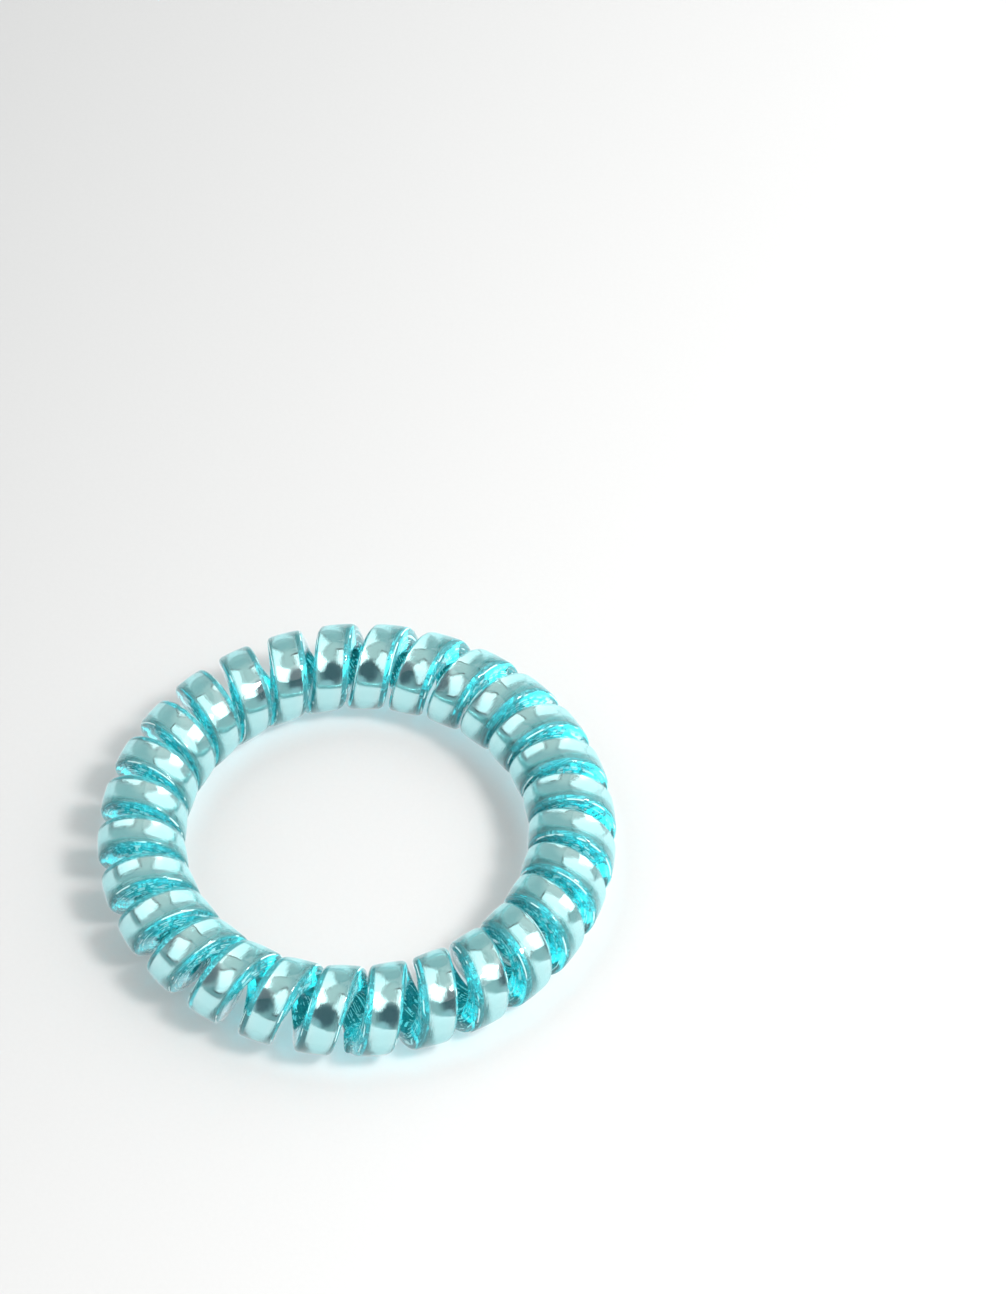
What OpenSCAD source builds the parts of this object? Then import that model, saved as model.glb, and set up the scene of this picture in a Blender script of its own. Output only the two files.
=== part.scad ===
// Spiral hair tie: a clear cord with a bright film strip inside it, wound as a left-handed coil
// that is bent round into a ring. The ring lies flat, its centre is at the origin, and the coil
// touches the ground at z = 0. All sizes are in millimetres, all angles in degrees.

/* [Ring] */
// Outside diameter of the ring as it lies flat
ring_od = 55; // [44:0.5:80]
// Outside diameter of the coil that is bent round into the ring
coil_od = 9.4; // [8:0.1:12]
// Least gap between neighbouring turns, where they crowd most at the inner side of the ring
turn_gap = 0.05; // [0.05:0.05:2]
// How far turns are pushed towards two opposite sides of the ring
crowd = 1; // [0:0.1:1.5]
// Side of the ring that the turns crowd to, and so does the side opposite it
crowd_side = -10; // [-180:1:180]
// How far turns are pushed towards one side of the ring
lean = 0.8; // [0:0.1:1.5]
// Side of the ring that the turns lean to
lean_side = 18; // [-180:1:180]

/* [Film] */
// Width of the bright film strip
film_w = 3.05; // [2:0.05:4]
// Thickness of the film strip
film_t = 0.12; // [0.05:0.01:0.3]
// Clear gap all round the strip in its channel
film_gap = 0.03; // [0.02:0.01:0.06]
// How far the strip lies off the middle of the cord
film_shift = 0.1; // [0:0.05:0.2]

/* [Cord] */
// Clear skin over the film, at the outward face of the cord
skin_t = 0.4; // [0.25:0.05:0.8]
// Cord behind the film
back_t = 2.5; // [1.5:0.1:2.9]
// Clear margin on each side of the film
edge_w = 0.4; // [0.3:0.05:0.8]
// Rise of the outward face from its edges to its middle
crown = 0.12; // [0.05:0.01:0.25]
// Rounding of the two outward corners
outer_corner = 0.35; // [0.1:0.05:0.6]
// Rounding of the two corners that face into the coil
inner_corner = 0.9; // [0.3:0.1:1.2]

/* [Weld] */
// Place of the weld round the ring
weld_side = -87.9; // [-180:0.1:180]
// Place of the weld round the coil, from the outward side, with the underside at -90
weld_turn = -65; // [-85:1:-45]
// Length of the weld along the cord
weld_l = 2; // [1:0.1:4]
// How far the melted bead stands out from the sides of the cord
bead = 0.12; // [0.05:0.01:0.2]
// How far the thin flash stands out beyond the bead, on each side
flash = 0.35; // [0.1:0.05:0.45]
// Thickness of the flash along the cord
flash_t = 0.25; // [0.15:0.05:0.5]
// Clear gap between the weld and each end of the cord
weld_gap = 0.03; // [0.02:0.01:0.08]

/* [Hidden] */
// Sections along each turn of the coil
steps = 12;
coil_r = coil_od / 2;
ring_r = (ring_od - coil_od) / 2;
cord_w = film_w + 2 * edge_w;
cord_t = skin_t + film_t + back_t;
corner = min(outer_corner, edge_w, skin_t);
// Radius of the coil at the middle of the cord, and where the cord is first at its full width
mid_r = coil_r - cord_t / 2;
wide_r = coil_r - crown - corner;
// Slope of the turns at the inner side of the ring, and the share of room that crowding takes
inner_slope = atan((cord_w + turn_gap) / (2 * PI * wide_r));
crowd_share = (2 * crowd + lean) * PI / 180;
inner_room = 2 * PI * (ring_r - wide_r) * (1 - crowd_share) * cos(inner_slope);
turns = floor(inner_room / (cord_w + turn_gap));
// Angle of the coil that half of the weld, its gap and half of its flash take up
weld_half = weld_l / 2 / mid_r * 180 / PI;
gap_turn = weld_gap / mid_r * 180 / PI;
flash_half = flash_t / 2 / mid_r * 180 / PI;

// Outline of the cord across its width (x) and down from its outward face (y).
// The third column is the corner of the film's channel that lies nearest.
half_w = cord_w / 2;
cord_outline = [
  [0, 0, 1],
  [half_w - corner, crown, 1],
  [half_w, crown + corner, 1],
  [half_w, cord_t - inner_corner, 2],
  [half_w - inner_corner, cord_t, 2],
  [inner_corner - half_w, cord_t, 3],
  [-half_w, cord_t - inner_corner, 3],
  [-half_w, crown + corner, 0],
  [corner - half_w, crown, 0]
];

// Outline of the film strip, grown by a gap on all sides
function film_outline(gap) = [
  [film_shift - film_w / 2 - gap, skin_t - gap],
  [film_shift + film_w / 2 + gap, skin_t - gap],
  [film_shift + film_w / 2 + gap, skin_t + film_t + gap],
  [film_shift - film_w / 2 - gap, skin_t + film_t + gap]
];

// Outline of the weld: the cord's, with its sides and inward face moved out. Its outward face
// stays level with the cord, so that the ring lies flat.
function weld_outline(out) = [
  for (p = cord_outline) [
    p.x + sign(p.x) * out * (p.y > crown ? 1 : 0.5),
    p.y + (p.y > cord_t / 2 ? min(out, bead) : 0)
  ]
];

// Angle round the ring for an angle along the coil, with the turns crowded and leaning
function even_side(turn) = weld_side + (turn - weld_turn) / turns;
function side(turn) =
  let (s = even_side(turn))
  s - lean * sin(s - lean_side) - crowd * sin(2 * (s - crowd_side));

// A point of the section at an angle along the coil: x across the cord, y down from its face
function place(turn, x, y) =
  let (
    s = side(turn),
    outward = [cos(s), sin(s), 0],
    onward = [-sin(s), cos(s), 0],
    up = [0, 0, 1],
    lift = cos(turn) * outward + sin(turn) * up,
    climb = cos(turn) * up - sin(turn) * outward,
    slope = atan((ring_r + mid_r * cos(turn)) / (turns * mid_r)),
    across = cos(slope) * onward - sin(slope) * climb
  )
  ring_r * outward + coil_r * up + (coil_r - y) * lift + x * across;

// Two triangles between points a and b of one section and the same points of the next. Their shared
// edge leans with the twist of the strip, so that its two faces stay parallel and close to round.
function wall(a, b, next, rightward) =
  rightward
    ? [[a, a + next, b + next], [a, b + next, b]]
    : [[a, a + next, b], [b, a + next, b + next]];

// The walls along a whole strip, for an outline whose points start at a given number
function walls(outline, start, last) = [
  let (n = len(outline))
  for (i = [0 : last - 1]) for (j = [0 : n - 1])
    let (k = (j + 1) % n, first = start + i * n)
    each wall(first + j, first + k, n, outline[k].x > outline[j].x)
];

// Angles of the sections from one end of the cord to the other
first_turn = weld_turn + weld_half + gap_turn;
last_turn = weld_turn + 360 * turns - weld_half - gap_turn;
step = 360 / steps;
cord_turns = concat(
  [first_turn],
  [for (k = [floor(first_turn / step) + 1 : ceil(last_turn / step) - 1]) k * step],
  [last_turn]
);

// A solid strip through sections that all have the points of one outline, in its order
module sweep(sections, outline) {
  n = len(outline);
  last = len(sections) - 1;
  polyhedron(
    points = [for (s = sections) each s],
    faces = concat(
      walls(outline, 0, last),
      [[for (j = [0 : n - 1]) j]],
      [[for (j = [n - 1 : -1 : 0]) last * n + j]]
    )
  );
}

// The cord: its outline swept along the coil, with the film's channel open right through it
module coil_cord() {
  outline = cord_outline;
  channel = film_outline(film_gap);
  n = len(outline);
  m = len(channel);
  last = len(cord_turns) - 1;
  inside = n * (last + 1);
  channel_walls = [for (t = walls(channel, inside, last)) [t[2], t[1], t[0]]];
  // The two end faces run from the outline to the channel's nearest corners
  first_face = [
    for (j = [0 : n - 1])
      let (k = (j + 1) % n, near = outline[j][2], next = outline[k][2])
      each near == next
        ? [[j, k, inside + near]]
        : [[j, k, inside + next], [j, inside + next, inside + near]]
  ];
  last_face = [
    for (t = first_face)
      [for (v = [t[2], t[1], t[0]]) v < inside ? v + last * n : v + last * m]
  ];
  color("turquoise")
    polyhedron(
      points = concat(
        [for (t = cord_turns) for (p = outline) place(t, p.x, p.y)],
        [for (t = cord_turns) for (p = channel) place(t, p.x, p.y)]
      ),
      faces = concat(walls(outline, 0, last), channel_walls, first_face, last_face)
    );
}

// The film strip, as long as the cord
module foil_strip() {
  color("silver")
    sweep([for (t = cord_turns) [for (p = film_outline(0)) place(t, p.x, p.y)]], film_outline(0));
}

// The weld: a low bead with a thin flash round its middle, from one cord end to the other
module end_weld() {
  // angle from the middle of the weld, and how far the sides stand out
  profile = [
    [-weld_half, 0],
    [-weld_half * 0.5, bead],
    [-flash_half * 1.5, bead],
    [-flash_half, bead + flash],
    [flash_half, bead + flash],
    [flash_half * 1.5, bead],
    [weld_half * 0.5, bead],
    [weld_half, 0]
  ];
  color("paleturquoise")
    sweep(
      [for (row = profile) [for (p = weld_outline(row[1])) place(weld_turn + row[0], p.x, p.y)]],
      cord_outline
    );
}

coil_cord();
foil_strip();
end_weld();
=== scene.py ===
import bpy
import math
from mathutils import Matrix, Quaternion, Vector


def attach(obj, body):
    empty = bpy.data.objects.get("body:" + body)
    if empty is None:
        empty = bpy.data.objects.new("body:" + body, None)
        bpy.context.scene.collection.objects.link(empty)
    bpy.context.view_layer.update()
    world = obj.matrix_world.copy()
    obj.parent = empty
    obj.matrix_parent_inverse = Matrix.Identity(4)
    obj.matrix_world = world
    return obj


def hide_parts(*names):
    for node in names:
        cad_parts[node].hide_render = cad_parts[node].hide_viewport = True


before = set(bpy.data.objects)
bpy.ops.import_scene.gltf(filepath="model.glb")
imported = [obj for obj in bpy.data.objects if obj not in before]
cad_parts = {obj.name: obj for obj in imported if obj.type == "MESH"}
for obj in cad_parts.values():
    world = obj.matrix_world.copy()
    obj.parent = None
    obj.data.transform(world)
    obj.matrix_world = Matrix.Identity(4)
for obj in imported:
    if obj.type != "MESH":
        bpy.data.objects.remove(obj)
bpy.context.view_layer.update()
scene = bpy.context.scene
mm = 0.001  # sizes are given in mm, and Blender takes metres


def hexColour(code):
    # sRGB hex, as a colour picker shows it, turned to the linear values that shaders take
    shares = [int(code[i:i + 2], 16) / 255 for i in (0, 2, 4)]
    linear = [s / 12.92 if s <= 0.04045 else ((s + 0.055) / 1.055) ** 2.4 for s in shares]
    return (*linear, 1)


def addNode(tree, kind, settings=None, links=None):
    # settings are the node's own options or the values of its sockets, links come from other sockets
    node = tree.nodes.new(kind)
    for key, value in (settings or {}).items():
        if isinstance(key, str) and hasattr(node, key):
            setattr(node, key, value)
        else:
            node.inputs[key].default_value = value
    for key, source in (links or {}).items():
        tree.links.new(source, node.inputs[key])
    return node


def newMaterial(name):
    material = bpy.data.materials.new(name)
    material.use_nodes = True
    return material, material.node_tree, material.node_tree.nodes["Principled BSDF"]


# Camera: a long lens that looks down on the ring from the front, at the angle of a packshot
cameraSetup = {
    "place": (15.47, -273.91, 369.74),  # mm from the middle of the ring
    "tilt": 39.36,  # degrees up from straight down
    "lens": 119.6,
    "sensor": 36,
    "nearest": 10,  # mm
}

cameraData = bpy.data.cameras.new("camera")
cameraData.sensor_width = cameraSetup["sensor"]
cameraData.lens = cameraSetup["lens"]
cameraData.clip_start = cameraSetup["nearest"] * mm
camera = bpy.data.objects.new("camera", cameraData)
camera.location = Vector(cameraSetup["place"]) * mm
camera.rotation_euler = (math.radians(cameraSetup["tilt"]), 0, 0)
scene.collection.objects.link(camera)
scene.camera = camera
print("camera set")

# The coil, wound left-handed and bent into a ring, with the sizes of the solids that it dresses
coil = {
    "ringDiameter": 55,
    "coilDiameter": 9.4,
    "turns": 28,
    "crowd": 1, "crowdSide": -10,  # degrees that turns are pushed to two sides of the ring
    "lean": 0.8, "leanSide": 18,  # degrees that turns are pushed to one side
    "weldSide": -87.9, "weldTurn": -65,  # place of the weld round the ring, and round the coil
    "weldLength": 2,
    "ringsPerTurn": 64,
    "creaseAngle": 40,  # corners of a section that turn by more than this stay sharp
}
cordSize = {
    "width": 3.85, "thickness": 3.02,
    "crown": 0.12,  # rise of the outward face from its edges to its middle
    "outerCorner": 0.5, "innerCorner": 1.0,
    "cornerSteps": 7, "faceSteps": 4,
}
coilRadius = coil["coilDiameter"] / 2
ringRadius = (coil["ringDiameter"] - coil["coilDiameter"]) / 2
middleRadius = coilRadius - cordSize["thickness"] / 2


def sideAngle(turn):
    # angle round the ring for an angle along the coil
    even = coil["weldSide"] + (turn - coil["weldTurn"]) / coil["turns"]
    lean = coil["lean"] * math.sin(math.radians(even - coil["leanSide"]))
    crowd = coil["crowd"] * math.sin(math.radians(2 * (even - coil["crowdSide"])))
    return math.radians(even - lean - crowd)


def placeInCoil(turn, across, depth):
    # a point of the section at this angle: across the cord and down from its outward face
    side, angle = sideAngle(turn), math.radians(turn)
    outward = Vector((math.cos(side), math.sin(side), 0))
    onward = Vector((-math.sin(side), math.cos(side), 0))
    up = Vector((0, 0, 1))
    lift = math.cos(angle) * outward + math.sin(angle) * up
    climb = math.cos(angle) * up - math.sin(angle) * outward
    slope = math.atan((ringRadius + middleRadius * math.cos(angle)) / (coil["turns"] * middleRadius))
    widthWay = math.cos(slope) * onward - math.sin(slope) * climb
    return ringRadius * outward + coilRadius * up + (coilRadius - depth) * lift + across * widthWay


def turnsBetween(first, last, perTurn):
    step = 360 / perTurn
    inner = [k * step for k in range(math.floor(first / step) + 1, math.ceil(last / step))]
    return [first] + inner + [last]


def sweepCord(name, turns, outlines, material):
    # a closed solid through one outline at each angle, with its straightened place kept as an attribute
    count = len(outlines[0])
    points, flatPlaces, along = [], [], 0.0
    for i, (turn, outline) in enumerate(zip(turns, outlines)):
        if i:
            along += (placeInCoil(turn, 0, 0) - placeInCoil(turns[i - 1], 0, 0)).length
        for x, y in outline:
            points.append(placeInCoil(turn, x, y) * mm)
            flatPlaces += [along, x, y]
    faces = []
    for i in range(len(turns) - 1):
        for j in range(count):
            # each quad splits along the way that the cord twists, for which its corners start at the left
            a, b = i * count + j, i * count + (j + 1) % count
            if outlines[i][(j + 1) % count][0] > outlines[i][j][0]:
                faces.append((a, b, b + count, a + count))
            else:
                faces.append((b, b + count, a + count, a))
    last = (len(turns) - 1) * count
    faces.append(list(reversed(range(count))))
    faces.append([last + j for j in range(count)])
    mesh = bpy.data.meshes.new(name)
    mesh.from_pydata(points, [], faces)
    straight = mesh.attributes.new("straightPlace", "FLOAT_VECTOR", "POINT")
    straight.data.foreach_set("vector", flatPlaces)
    mesh.polygons.foreach_set("use_smooth", [True] * len(faces))
    # creases run along the sharp corners of the section, and round the two ends
    creases = []
    for j in range(count):
        before, here, after = (Vector(outlines[0][(j + k) % count]) for k in (-1, 0, 1))
        creases.append((here - before).angle(after - here) > math.radians(coil["creaseAngle"]))
    for edge in mesh.edges:
        a, b = edge.vertices
        alongCord = abs(a - b) == count and creases[a % count]
        roundEnd = a // count == b // count and a // count in (0, len(turns) - 1)
        edge.use_edge_sharp = alongCord or roundEnd
    mesh.materials.append(material)
    piece = bpy.data.objects.new(name, mesh)
    scene.collection.objects.link(piece)
    return piece


# Cord
def cordOutline():
    # the cord's section, clockwise from the middle of its outward face: x across, y down
    half, deep = cordSize["width"] / 2, cordSize["thickness"]
    outer, inner = cordSize["outerCorner"], cordSize["innerCorner"]
    flat = half - outer
    corner = [math.radians(90 * i / cordSize["cornerSteps"]) for i in range(cordSize["cornerSteps"] + 1)]
    right = [(flat * i / cordSize["faceSteps"], 0) for i in range(cordSize["faceSteps"])]
    right += [(flat + outer * math.sin(a), outer - outer * math.cos(a)) for a in corner]
    right.append((half, (outer + deep - inner) / 2))
    right += [(half - inner + inner * math.cos(a), deep - inner + inner * math.sin(a)) for a in corner]
    outline = right + [(0, deep)] + [(-x, y) for x, y in reversed(right[1:])]
    drop = cordSize["crown"] / half ** 2
    return [(x, y + drop * x * x * max(0, 1 - y / (deep / 2))) for x, y in outline]


# Film
filmSize = {
    "width": 2.8, "thickness": 0.06,
    "skin": 0.4, "shift": 0.2,  # how deep it lies, and how far off the cord's middle
    "hollow": 0.0625,  # rise towards its edges, in mm for each mm squared off its middle
    "lean": -0.053,  # rise for each mm across, so that it lies a little askew in the cord
    "steps": 12,
}


def filmOutline():
    left, steps = filmSize["shift"] - filmSize["width"] / 2, filmSize["steps"]
    top = []
    for i in range(steps + 1):
        x = left + filmSize["width"] * i / steps
        top.append((x, filmSize["skin"] - filmSize["hollow"] * x * x - filmSize["lean"] * x))
    return top + [(x, y + filmSize["thickness"]) for x, y in reversed(top)]


# Materials
def straightScaled(tree, size):
    # the straightened place, counted in steps of this size in mm: along the cord, across it, down its face
    straight = addNode(tree, "ShaderNodeAttribute", {"attribute_name": "straightPlace"})
    perMm = [1 / step if step else 0 for step in size]
    return addNode(tree, "ShaderNodeVectorMath", {"operation": "MULTIPLY", 1: perMm},
                   {0: straight.outputs["Vector"]}).outputs["Vector"]


# Clear thermoplastic polyurethane, dyed aqua and extruded. The hot die leaves it glossy, with faint lines
# along it. A milky aqua painted on its margins gives the eye deep aqua margins round a clear middle, as
# painted fill light that lifts their shade, and thin white lines painted along it are painted highlights.
tpuLook = {
    "ior": 1.5, "roughness": 0.03,
    "passes": "89f3f5", "density": 600,  # colour of the light that gets through, and absorption per metre
    # painted fill: this aqua lifts the shade, and the clear tint is also the white of the painted
    # highlights
    "clearTint": "e7ffff", "paintedAqua": "76dee3",
    "clearest": 0.98, "leastClear": 0.15,  # share of light that a clean place and a place wholly under painted highlights lets in
    # each pattern is given by its size in mm along the cord, across it and down its face
    "dieLine": (4, 0.2, 0.2), "dieLineHeight": 0.004,  # coarser than real die lines, so that they show
    "rib": (8.3333, 0.5, 0.5), "ribHeight": 0.1,
    # painted highlights: thin white lines on the inward sides, and broken white lines on the shoulders
    "paintedGlint": (10, 0.3846, 0.3846), "glintBreak": (0.9091, 0.6667, 0.6667),
    "glintEdge": 0.1, "glintCore": 0.045,  # how far off the noise's middle height a painted highlight line reaches
    "breakFrom": 0.44, "breakFull": 0.52,
    # painted highlights: broken white lines along the two shoulders
    "shoulderGlintBreak": (2.2222, 1.25, 1.25),
    "shoulderGlintFrom": 0.54, "shoulderGlintFull": 0.58,
    "shoulder": 1.76, "shoulderGlintEdge": 0.07, "shoulderGlintCore": 0.04,  # mm off the middle, and half a line's width
    "faceDepth": 0.45, "wallDepth": 0.5, "wallFull": 0.8,  # mm down from the outward face
    "marginFrom": 1.22, "marginFull": 1.5,  # mm off the film's middle
    "rimFrom": 0.35, "rimFull": 0.85,  # how far the surface turns away from the eye
    # shares of painted fill at the margins and of painted rim glow, where the surface turns from the eye
    "marginFill": 0.28, "rimGlow": 0.52,
}


def clearTpu():
    look = tpuLook
    material, tree, shader = newMaterial("extrudedAquaTpu")
    shader.inputs["IOR"].default_value = look["ior"]
    shader.inputs["Roughness"].default_value = look["roughness"]
    # plain values of the two sockets that are linked below, for a viewer that reads no nodes
    shader.inputs["Base Color"].default_value = hexColour(look["clearTint"])
    shader.inputs["Transmission Weight"].default_value = look["clearest"]
    absorb = addNode(tree, "ShaderNodeVolumeAbsorption",
                     {"Color": hexColour(look["passes"]), "Density": look["density"]})
    tree.links.new(absorb.outputs["Volume"], tree.nodes["Material Output"].inputs["Volume"])

    straight = addNode(tree, "ShaderNodeAttribute", {"attribute_name": "straightPlace"})
    parts = addNode(tree, "ShaderNodeSeparateXYZ", {}, {0: straight.outputs["Vector"]})
    across, depth = parts.outputs["Y"], parts.outputs["Z"]
    inward = addNode(tree, "ShaderNodeMapRange",
                     {"From Min": look["wallDepth"], "From Max": look["wallFull"]}, {"Value": depth})
    upward = addNode(tree, "ShaderNodeMapRange",
                     {"From Min": look["wallDepth"], "From Max": look["faceDepth"]}, {"Value": depth})

    # fine die lines all round, and low ribs on the sides that face into the coil
    lines = addNode(tree, "ShaderNodeTexNoise", {"Scale": 1, "Detail": 2, "Roughness": 0.6},
                    {"Vector": straightScaled(tree, look["dieLine"])})
    lineBump = addNode(tree, "ShaderNodeBump", {"Distance": look["dieLineHeight"] * mm, "Strength": 1},
                       {"Height": lines.outputs["Fac"]})
    ribs = addNode(tree, "ShaderNodeTexNoise", {"Scale": 1, "Detail": 1, "Roughness": 0.4},
                   {"Vector": straightScaled(tree, look["rib"])})
    ribHeight = addNode(tree, "ShaderNodeMath", {"operation": "MULTIPLY"},
                        {0: ribs.outputs["Fac"], 1: inward.outputs[0]})
    ribBump = addNode(tree, "ShaderNodeBump", {"Distance": look["ribHeight"] * mm, "Strength": 1},
                      {"Height": ribHeight.outputs[0], "Normal": lineBump.outputs["Normal"]})
    tree.links.new(ribBump.outputs["Normal"], shader.inputs["Normal"])

    # painted highlights: thin lines on the same sides turn milky white, as white streaks and specks
    crest = addNode(tree, "ShaderNodeTexNoise", {"Scale": 1, "Detail": 0},
                    {"Vector": straightScaled(tree, look["paintedGlint"])})
    off = addNode(tree, "ShaderNodeMath", {"operation": "SUBTRACT", 1: 0.5}, {0: crest.outputs["Fac"]})
    near = addNode(tree, "ShaderNodeMath", {"operation": "ABSOLUTE"}, {0: off.outputs[0]})
    line = addNode(tree, "ShaderNodeMapRange",
                   {"From Min": look["glintEdge"], "From Max": look["glintCore"]},
                   {"Value": near.outputs[0]})
    breaks = addNode(tree, "ShaderNodeTexNoise", {"Scale": 1, "Detail": 1},
                     {"Vector": straightScaled(tree, look["glintBreak"])})
    whole = addNode(tree, "ShaderNodeMapRange",
                    {"From Min": look["breakFrom"], "From Max": look["breakFull"]},
                    {"Value": breaks.outputs["Fac"]})
    paintedGlint = addNode(tree, "ShaderNodeMath", {"operation": "MULTIPLY"},
                    {0: line.outputs[0], 1: whole.outputs[0]})
    paintedGlintIn = addNode(tree, "ShaderNodeMath", {"operation": "MULTIPLY"},
                      {0: paintedGlint.outputs[0], 1: inward.outputs[0]})

    # and painted highlights run as broken white lines along the two shoulders
    sideways = addNode(tree, "ShaderNodeMath", {"operation": "ABSOLUTE"}, {0: across})
    fromShoulder = addNode(tree, "ShaderNodeMath", {"operation": "SUBTRACT", 1: look["shoulder"]},
                           {0: sideways.outputs[0]})
    offShoulder = addNode(tree, "ShaderNodeMath", {"operation": "ABSOLUTE"}, {0: fromShoulder.outputs[0]})
    shoulder = addNode(tree, "ShaderNodeMapRange",
                       {"From Min": look["shoulderGlintEdge"], "From Max": look["shoulderGlintCore"]},
                       {"Value": offShoulder.outputs[0]})
    dashes = addNode(tree, "ShaderNodeTexNoise", {"Scale": 1, "Detail": 1},
                     {"Vector": straightScaled(tree, look["shoulderGlintBreak"])})
    dashed = addNode(tree, "ShaderNodeMapRange",
                     {"From Min": look["shoulderGlintFrom"], "From Max": look["shoulderGlintFull"]},
                     {"Value": dashes.outputs["Fac"]})
    shoulderGlint = addNode(tree, "ShaderNodeMath", {"operation": "MULTIPLY"},
                  {0: shoulder.outputs[0], 1: dashed.outputs[0]})
    shoulderGlintUp = addNode(tree, "ShaderNodeMath", {"operation": "MULTIPLY"},
                    {0: shoulderGlint.outputs[0], 1: upward.outputs[0]})
    paintedHighlights = addNode(tree, "ShaderNodeMath", {"operation": "MAXIMUM"},
                    {0: shoulderGlintUp.outputs[0], 1: paintedGlintIn.outputs[0]})

    # painted fill light: a milky aqua is painted at the cord's margins and on its inward sides to lift
    # their shade, and a painted aqua rim glow where it is seen edge on
    fromFilm = addNode(tree, "ShaderNodeMath", {"operation": "SUBTRACT", 1: filmSize["shift"]}, {0: across})
    offFilm = addNode(tree, "ShaderNodeMath", {"operation": "ABSOLUTE"}, {0: fromFilm.outputs[0]})
    margin = addNode(tree, "ShaderNodeMapRange",
                     {"From Min": look["marginFrom"], "From Max": look["marginFull"]},
                     {"Value": offFilm.outputs[0]})
    marginUp = addNode(tree, "ShaderNodeMath", {"operation": "MULTIPLY"},
                       {0: margin.outputs[0], 1: upward.outputs[0]})
    edged = addNode(tree, "ShaderNodeMath", {"operation": "MAXIMUM"},
                    {0: marginUp.outputs[0], 1: inward.outputs[0]})
    slant = addNode(tree, "ShaderNodeLayerWeight", {"Blend": 0.5})
    rim = addNode(tree, "ShaderNodeMapRange", {"From Min": look["rimFrom"], "From Max": look["rimFull"]},
                  {"Value": slant.outputs["Facing"]})
    fillAndRim = addNode(tree, "ShaderNodeMath", {"operation": "MAXIMUM"},
                     {0: edged.outputs[0], 1: rim.outputs[0]})
    unhighlighted = addNode(tree, "ShaderNodeMapRange", {"To Min": 1, "To Max": 0}, {"Value": paintedHighlights.outputs[0]})
    paintedFillShare = addNode(tree, "ShaderNodeMath", {"operation": "MULTIPLY"},
                   {0: unhighlighted.outputs[0], 1: fillAndRim.outputs[0]})
    colour = addNode(tree, "ShaderNodeMix",
                     {"data_type": "RGBA", 6: hexColour(look["clearTint"]), 7: hexColour(look["paintedAqua"])},
                     {0: paintedFillShare.outputs[0]})
    tree.links.new(colour.outputs[2], shader.inputs["Base Color"])

    # the painted highlights and, more weakly, the painted fill and rim glow let less light through
    edgeFill = addNode(tree, "ShaderNodeMath", {"operation": "MULTIPLY", 1: look["marginFill"]},
                        {0: edged.outputs[0]})
    rimGlow = addNode(tree, "ShaderNodeMath", {"operation": "MULTIPLY", 1: look["rimGlow"]},
                       {0: rim.outputs[0]})
    fillAndRimGlow = addNode(tree, "ShaderNodeMath", {"operation": "MAXIMUM"},
                    {0: edgeFill.outputs[0], 1: rimGlow.outputs[0]})
    highlightsFillAndRim = addNode(tree, "ShaderNodeMath", {"operation": "MAXIMUM"},
                    {0: paintedHighlights.outputs[0], 1: fillAndRimGlow.outputs[0]})
    clear = addNode(tree, "ShaderNodeMapRange",
                    {"To Min": look["clearest"], "To Max": look["leastClear"]}, {"Value": highlightsFillAndRim.outputs[0]})
    tree.links.new(clear.outputs[0], shader.inputs["Transmission Weight"])
    return material


# Polyester film, metallised in a vacuum and drawn into the cord. It gives the eye sharp bright reflections,
# a little wavy from the drawing and finely streaked along it.
filmLook = {
    "silver": "dfe1e1",
    "roughness": 0.03,
    "wave": (2, 1.25, 0), "waveHeight": 0.018,  # mm along, across and down, and how high it stands
    "streak": (3.3333, 0.1, 0), "streakHeight": 0.007,  # coarser than real streaks, so that they show
}


def metallisedFilm():
    look = filmLook
    material, tree, shader = newMaterial("metallisedPolyesterFilm")
    shader.inputs["Base Color"].default_value = hexColour(look["silver"])
    shader.inputs["Metallic"].default_value = 1
    shader.inputs["Roughness"].default_value = look["roughness"]
    waves = addNode(tree, "ShaderNodeTexNoise", {"Scale": 1, "Detail": 2},
                    {"Vector": straightScaled(tree, look["wave"])})
    waveBump = addNode(tree, "ShaderNodeBump", {"Distance": look["waveHeight"] * mm, "Strength": 1},
                       {"Height": waves.outputs["Fac"]})
    streaks = addNode(tree, "ShaderNodeTexNoise", {"Scale": 1, "Detail": 3, "Roughness": 0.6},
                      {"Vector": straightScaled(tree, look["streak"])})
    streakBump = addNode(tree, "ShaderNodeBump", {"Distance": look["streakHeight"] * mm, "Strength": 1},
                         {"Height": streaks.outputs["Fac"], "Normal": waveBump.outputs["Normal"]})
    tree.links.new(streakBump.outputs["Normal"], shader.inputs["Normal"])
    return material


tpu = clearTpu()
film = metallisedFilm()
print("cord and film materials made")

# The cord runs from one side of the weld round to the other, and the film runs inside it
weldHalf = math.degrees(coil["weldLength"] / 2 / middleRadius)
firstTurn = coil["weldTurn"] + weldHalf
lastTurn = coil["weldTurn"] + 360 * coil["turns"] - weldHalf
cordTurns = turnsBetween(firstTurn, lastTurn, coil["ringsPerTurn"])
cordSection = cordOutline()
cord = sweepCord("coilCord", cordTurns, [cordSection] * len(cordTurns), tpu)
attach(cord, "root")
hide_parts("coil_cord")
print("cord made:", len(cord.data.polygons), "faces")

strip = sweepCord("foilStrip", cordTurns, [filmOutline()] * len(cordTurns), film)
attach(strip, "root")
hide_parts("foil_strip")
print("film made:", len(strip.data.polygons), "faces")

# Weld: a low bead of melted cord, with the thin flash that the welding tool squeezed out round its middle
weldSize = {
    "bead": 0.12, "beadFrom": 0.5,  # mm that it stands out, from this share of its half length inwards
    "flash": 0.35, "flashThickness": 0.25, "flashFoot": 1.5,  # its foot is this much wider than its rim
    "overlap": 0.2,  # degrees that it laps over each end of the cord
}


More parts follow.
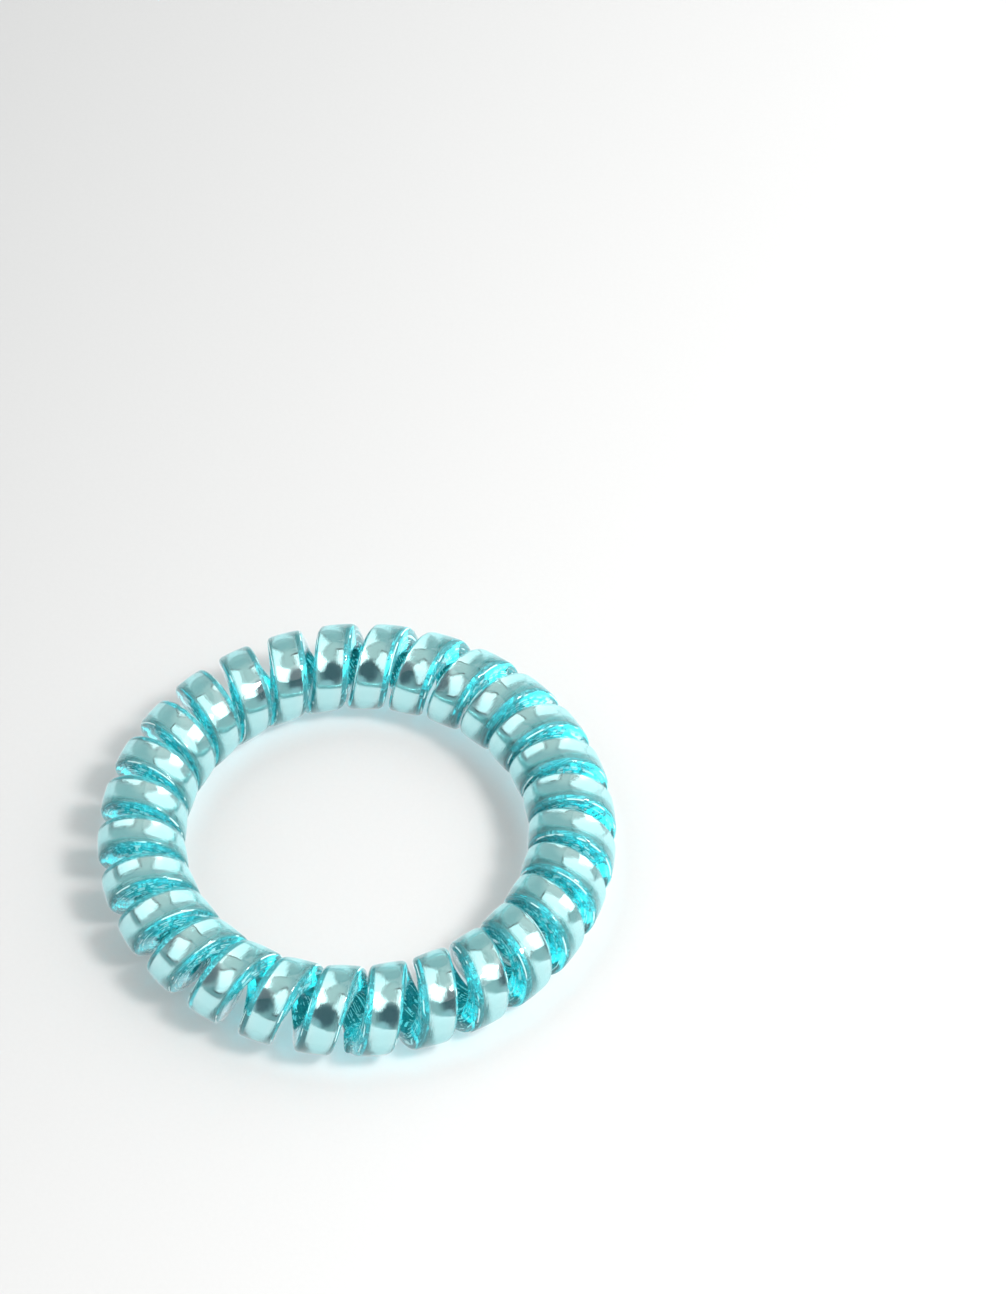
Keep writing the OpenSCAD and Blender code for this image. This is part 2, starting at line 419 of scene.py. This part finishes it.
def weldOutline(out):
    # the cord's section with its sides and inward face moved out, while its outward face stays level
    section = []
    for x, y in cordSection:
        if x:
            x += math.copysign(out if y > cordSize["crown"] else out / 2, x)
        if y > cordSize["thickness"] / 2:
            y += min(out, weldSize["bead"])
        section.append((x, y))
    return section


flashHalf = math.degrees(weldSize["flashThickness"] / 2 / middleRadius)
weldRows = [  # from one end to the middle: degrees off the middle, and how far its sides stand out
    (weldHalf + weldSize["overlap"], 0),
    (weldHalf * weldSize["beadFrom"], weldSize["bead"]),
    (flashHalf * weldSize["flashFoot"], weldSize["bead"]),
    (flashHalf, weldSize["bead"] + weldSize["flash"]),
]
weldProfile = [(-angle, out) for angle, out in weldRows] + weldRows[::-1]
weld = sweepCord("endWeld", [coil["weldTurn"] + angle for angle, out in weldProfile],
                 [weldOutline(out) for angle, out in weldProfile], tpu)
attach(weld, "root")
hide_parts("end_weld")
print("weld made:", len(weld.data.polygons), "faces")


# Floor and light
def compass(azimuth, elevation):
    # azimuth goes clockwise from the back of the scene, as seen from above
    a, e = math.radians(azimuth), math.radians(elevation)
    return Vector((math.cos(e) * math.sin(a), math.cos(e) * math.cos(a), math.sin(e)))


# White background paper, calendered and matt, which gives the eye a pale ground with a very fine grain,
# with painted light falloff and painted glows on it. The fibres are drawn coarser than they are, so that
# they show.
paperLook = {
    "halfSize": 3,  # metres
    "colour": "bfc0c0", "mirroredColour": "7c7c7c",
    "roughness": 0.9,
    "fibre": 0.4545, "grain": 0.015,  # mm, and how much lighter or darker a fibre is
    "shade": 0.885, "lighterWay": (1.8, -0.6, 0),  # painted light falloff: the level at the ring, and what each metre that way adds
    "paintedBounce": 0.22, "mirroredPaintedBounce": (4.2, 4.1, 4.2),  # painted glow of its own, for light that the room throws back from it
    "paintedCordGlow": (0.8, 1.3, 1.42),  # painted glow for light that the cord throws on it
    "cordGlowFull": 2.2, "cordGlowEnd": 6.5,  # mm off the middle of the cord's ring
    "shadowSide": 240, "shadowFrom": 0.6, "shadowFull": 1.1,
}


def backgroundPaper():
    look = paperLook
    material, tree, shader = newMaterial("matteWhitePaper")
    shader.inputs["Roughness"].default_value = look["roughness"]
    place = addNode(tree, "ShaderNodeTexCoord")
    # painted light: the paper is painted lighter one way and darker the other, as if the light fell off
    # across it
    falloff = addNode(tree, "ShaderNodeVectorMath", {"operation": "DOT_PRODUCT", 1: look["lighterWay"]},
                      {0: place.outputs["Object"]})
    level = addNode(tree, "ShaderNodeMath", {"operation": "ADD", "use_clamp": True, 1: look["shade"]},
                    {0: falloff.outputs["Value"]})
    fibres = addNode(tree, "ShaderNodeTexNoise", {"Scale": 1 / (look["fibre"] * mm), "Detail": 2},
                     {"Vector": place.outputs["Object"]})
    grain = addNode(tree, "ShaderNodeMapRange", {"To Min": 1 - look["grain"], "To Max": 1 + look["grain"]},
                    {"Value": fibres.outputs["Fac"]})
    shade = addNode(tree, "ShaderNodeMath", {"operation": "MULTIPLY"},
                    {0: level.outputs[0], 1: grain.outputs[0]})
    seenColour = addNode(tree, "ShaderNodeVectorMath",
                         {"operation": "SCALE", 0: hexColour(look["colour"])[:3]},
                         {"Scale": shade.outputs[0]})
    # painted reflection: the floor that the film mirrors has a darker colour and a stronger painted glow,
    # so it glows more and takes less shadow, as a wide lit table does
    path = addNode(tree, "ShaderNodeLightPath")
    mirrored = addNode(tree, "ShaderNodeMath", {"operation": "GREATER_THAN", 1: 0.5},
                       {0: path.outputs["Glossy Depth"]})
    colour = addNode(tree, "ShaderNodeMix", {"data_type": "RGBA", 7: hexColour(look["mirroredColour"])},
                     {0: mirrored.outputs[0], 6: seenColour.outputs["Vector"]})
    tree.links.new(colour.outputs[2], shader.inputs["Base Color"])
    # painted light: a glow painted on the paper close round the ring stands for light that has come through
    # the cord, less so on its shadow side
    fromMiddle = addNode(tree, "ShaderNodeVectorMath", {"operation": "LENGTH"},
                         {0: place.outputs["Object"]})
    fromRing = addNode(tree, "ShaderNodeMath", {"operation": "SUBTRACT", 1: ringRadius * mm},
                       {0: fromMiddle.outputs["Value"]})
    offRing = addNode(tree, "ShaderNodeMath", {"operation": "ABSOLUTE"}, {0: fromRing.outputs[0]})
    close = addNode(tree, "ShaderNodeMapRange", {
        "interpolation_type": "SMOOTHSTEP",
        "From Min": look["cordGlowFull"] * mm, "From Max": look["cordGlowEnd"] * mm,
        "To Min": 1, "To Max": 0,
    }, {"Value": offRing.outputs[0]})
    heading = addNode(tree, "ShaderNodeVectorMath", {"operation": "NORMALIZE"},
                      {0: place.outputs["Object"]})
    shadowSide = addNode(tree, "ShaderNodeVectorMath",
                         {"operation": "DOT_PRODUCT", 1: compass(look["shadowSide"], 0)},
                         {0: heading.outputs["Vector"]})
    litSide = addNode(tree, "ShaderNodeMapRange", {
        "interpolation_type": "SMOOTHSTEP",
        "From Min": look["shadowFrom"], "From Max": look["shadowFull"],
        "To Min": 1, "To Max": 0,
    }, {"Value": shadowSide.outputs["Value"]})
    paintedCordGlow = addNode(tree, "ShaderNodeMath", {"operation": "MULTIPLY"},
                     {0: close.outputs[0], 1: litSide.outputs[0]})
    paintedCordGlowColour = addNode(tree, "ShaderNodeVectorMath",
                          {"operation": "MULTIPLY_ADD", 1: look["paintedCordGlow"], 2: (1, 1, 1)},
                          {0: paintedCordGlow.outputs[0]})
    # painted glow: the paper gives off light of its own, in the painted glow colours above, scaled by its
    # painted shade
    paintedBounce = addNode(tree, "ShaderNodeMix", {"data_type": "RGBA", 7: (*look["mirroredPaintedBounce"], 1)},
                     {0: mirrored.outputs[0], 6: paintedCordGlowColour.outputs["Vector"]})
    tree.links.new(paintedBounce.outputs[2], shader.inputs["Emission Color"])
    strength = addNode(tree, "ShaderNodeMath", {"operation": "MULTIPLY", 1: look["paintedBounce"]},
                       {0: shade.outputs[0]})
    tree.links.new(strength.outputs[0], shader.inputs["Emission Strength"])
    return material


reach = paperLook["halfSize"]
floorMesh = bpy.data.meshes.new("paleFloor")
floorMesh.from_pydata([(-reach, -reach, 0), (reach, -reach, 0), (reach, reach, 0), (-reach, reach, 0)],
                      [], [(0, 1, 2, 3)])
floorMesh.materials.append(backgroundPaper())
floor = bpy.data.objects.new("paleFloor", floorMesh)
scene.collection.objects.link(floor)
print("floor made")

# Nylon cloth, dyed black and woven, of a softbox's rim: matt, and a little uneven in its black where the
# threads cross. The threads are drawn coarser than they are.
clothLook = {
    "dark": "161618", "light": "232326",
    "roughness": 0.9,
    "thread": 2.5,  # mm
}


def softboxCloth():
    look = clothLook
    material, tree, shader = newMaterial("blackSoftboxCloth")
    shader.inputs["Roughness"].default_value = look["roughness"]
    place = addNode(tree, "ShaderNodeTexCoord")
    weave = addNode(tree, "ShaderNodeTexNoise", {"Scale": 1 / (look["thread"] * mm), "Detail": 1},
                    {"Vector": place.outputs["Object"]})
    black = addNode(tree, "ShaderNodeMix",
                    {"data_type": "RGBA", 6: hexColour(look["dark"]), 7: hexColour(look["light"])},
                    {0: weave.outputs["Fac"]})
    tree.links.new(black.outputs[2], shader.inputs["Base Color"])
    return material


cloth = softboxCloth()

# Softboxes: where they hang (degrees, and metres away), their size in metres and the rim of black cloth
softboxes = {
    "leftSoftbox": {
        "azimuth": 258, "elevation": 43, "distance": 0.9, "size": (0.72, 0.95), "roll": 0,
        "shape": "RECTANGLE", "radiance": 0.97, "colour": (1.1, 1, 1), "rim": 0.075,
    },
    "windowSoftbox": {
        "azimuth": 52, "elevation": 34, "distance": 0.9, "size": (1.12, 1.1), "roll": 0,
        "shape": "RECTANGLE", "radiance": 0.9, "colour": (1.08, 1, 1), "rim": 0.06,
    },
    "keySoftbox": {
        "azimuth": 112, "elevation": 52, "distance": 0.88, "size": (0.66, 0.6), "roll": -18,
        "shape": "RECTANGLE", "radiance": 2, "colour": (1.1, 1, 0.98), "rim": 0,
    },
    "keyCore": {
        "azimuth": 112, "elevation": 55, "distance": 0.85, "size": (0.2, 0.2), "roll": 0,
        "shape": "ELLIPSE", "radiance": 40, "colour": (1.05, 1, 0.98), "rim": 0,
    },
}
rimSetBack = 0.002  # metres that a rim lies behind its light


def addSoftbox(name, setup):
    way = compass(setup["azimuth"], setup["elevation"])
    width, height = setup["size"]
    data = bpy.data.lights.new(name, "AREA")
    data.shape = setup["shape"]
    data.size, data.size_y = width, height
    data.energy = setup["radiance"] * math.pi * width * height
    data.color = setup["colour"]
    box = bpy.data.objects.new(name, data)
    box.location = way * setup["distance"]
    roll = Quaternion((0, 0, 1), math.radians(setup["roll"]))
    box.rotation_euler = (way.to_track_quat("Z", "Y") @ roll).to_euler()
    scene.collection.objects.link(box)
    if setup["rim"]:
        addRim(name + "Rim", box, width / 2, height / 2, setup["rim"])


def addRim(name, box, halfWidth, halfHeight, rimWidth):
    # the box's black rim, which no camera sees but the film mirrors
    corners = [(-1, -1), (1, -1), (1, 1), (-1, 1)]
    points = []
    for grown in (0, rimWidth):
        points += [(a * (halfWidth + grown), b * (halfHeight + grown), -rimSetBack) for a, b in corners]
    sides = [(i, (i + 1) % 4, (i + 1) % 4 + 4, i + 4) for i in range(4)]
    mesh = bpy.data.meshes.new(name)
    mesh.from_pydata(points, [], sides)
    mesh.materials.append(cloth)
    rim = bpy.data.objects.new(name, mesh)
    rim.location = box.location
    rim.rotation_euler = box.rotation_euler
    rim.visible_camera = False
    rim.visible_shadow = False
    scene.collection.objects.link(rim)


for name, setup in softboxes.items():
    addSoftbox(name, setup)
print("softboxes hung:", len(softboxes))

# Room: pale walls under a paler ceiling, with soft patches that the film mirrors
room = {
    "wall": "b8cdce", "ceiling": "e6e6e3",
    "wallTop": 0.64, "ceilingFrom": 0.87,  # heights, as shares of straight up
    "patches": [
        # full inside the first angle off its middle, and gone beyond the second
        {"azimuth": 250, "elevation": 2, "full": 25, "gone": 42, "colour": "95adb1"},
        {"azimuth": 180, "elevation": 36, "full": 22, "gone": 43, "colour": "3c5963"},
        {"azimuth": 165, "elevation": 0, "full": 12, "gone": 24, "colour": "bcd4da"},
    ],
    "backdrop": (0.9, 0.9, 0.9),  # what the camera itself sees beyond the floor
    "tent": (1.2, 1.2, 1.2), "longPath": 4.5,
    "caustic": (8.5, 15, 15.5), "throughPath": 1.5,
}
bounces = 12  # through the cord: more of them cost time and change little

world = bpy.data.worlds.new("studio")
scene.world = world
world.use_nodes = True
roomTree = world.node_tree
sky = addNode(roomTree, "ShaderNodeTexCoord")
skyParts = addNode(roomTree, "ShaderNodeSeparateXYZ", {}, {0: sky.outputs["Generated"]})
rise = addNode(roomTree, "ShaderNodeMapRange",
               {"From Min": room["wallTop"], "From Max": room["ceilingFrom"]},
               {"Value": skyParts.outputs["Z"]})
roomLight = addNode(roomTree, "ShaderNodeMix",
                    {"data_type": "RGBA", 6: hexColour(room["wall"]), 7: hexColour(room["ceiling"])},
                    {0: rise.outputs[0]})
for patch in room["patches"]:
    near = addNode(roomTree, "ShaderNodeVectorMath",
                   {"operation": "DOT_PRODUCT", 1: compass(patch["azimuth"], patch["elevation"])},
                   {0: sky.outputs["Generated"]})
    share = addNode(roomTree, "ShaderNodeMapRange", {
        "interpolation_type": "SMOOTHSTEP",
        "From Min": math.cos(math.radians(patch["gone"])),
        "From Max": math.cos(math.radians(patch["full"])),
    }, {"Value": near.outputs["Value"]})
    roomLight = addNode(roomTree, "ShaderNodeMix", {"data_type": "RGBA", 7: hexColour(patch["colour"])},
                        {0: share.outputs[0], 6: roomLight.outputs[2]})

# light that has wandered long in the cord sees a brighter room, in place of many more bounces
path = addNode(roomTree, "ShaderNodeLightPath")
deep = addNode(roomTree, "ShaderNodeMath", {"operation": "GREATER_THAN", 1: room["longPath"]},
               {0: path.outputs["Ray Depth"]})
direct = addNode(roomTree, "ShaderNodeMath", {"operation": "LESS_THAN", 1: 0.5},
                 {0: path.outputs["Diffuse Depth"]})
wandered = addNode(roomTree, "ShaderNodeMath", {"operation": "MULTIPLY"},
                   {0: deep.outputs[0], 1: direct.outputs[0]})
tent = addNode(roomTree, "ShaderNodeMix", {"data_type": "RGBA", 7: (*room["tent"], 1)},
               {0: wandered.outputs[0], 6: roomLight.outputs[2]})
# light that falls through the cord onto the floor is raised, as the cord gathers it like a lens
through = addNode(roomTree, "ShaderNodeMath", {"operation": "GREATER_THAN", 1: room["throughPath"]},
                  {0: path.outputs["Transmission Depth"]})
onFloor = addNode(roomTree, "ShaderNodeMath", {"operation": "GREATER_THAN", 1: 0.5},
                  {0: path.outputs["Diffuse Depth"]})
unmirrored = addNode(roomTree, "ShaderNodeMath", {"operation": "LESS_THAN", 1: 0.5},
                     {0: path.outputs["Glossy Depth"]})
passed = addNode(roomTree, "ShaderNodeMath", {"operation": "MULTIPLY"},
                 {0: through.outputs[0], 1: onFloor.outputs[0]})
gathered = addNode(roomTree, "ShaderNodeMath", {"operation": "MULTIPLY"},
                   {0: passed.outputs[0], 1: unmirrored.outputs[0]})
caustic = addNode(roomTree, "ShaderNodeMix", {"data_type": "RGBA", 7: (*room["caustic"], 1)},
                  {0: gathered.outputs[0], 6: tent.outputs[2]})
seen = addNode(roomTree, "ShaderNodeMix", {"data_type": "RGBA", 7: (*room["backdrop"], 1)},
               {0: path.outputs["Is Camera Ray"], 6: caustic.outputs[2]})
roomTree.links.new(seen.outputs[2], roomTree.nodes["Background"].inputs["Color"])
scene.cycles.max_bounces = bounces
scene.cycles.glossy_bounces = bounces
scene.cycles.transmission_bounces = bounces
scene.view_settings.view_transform = "Standard"
print("room made:", len(room["patches"]), "patches")
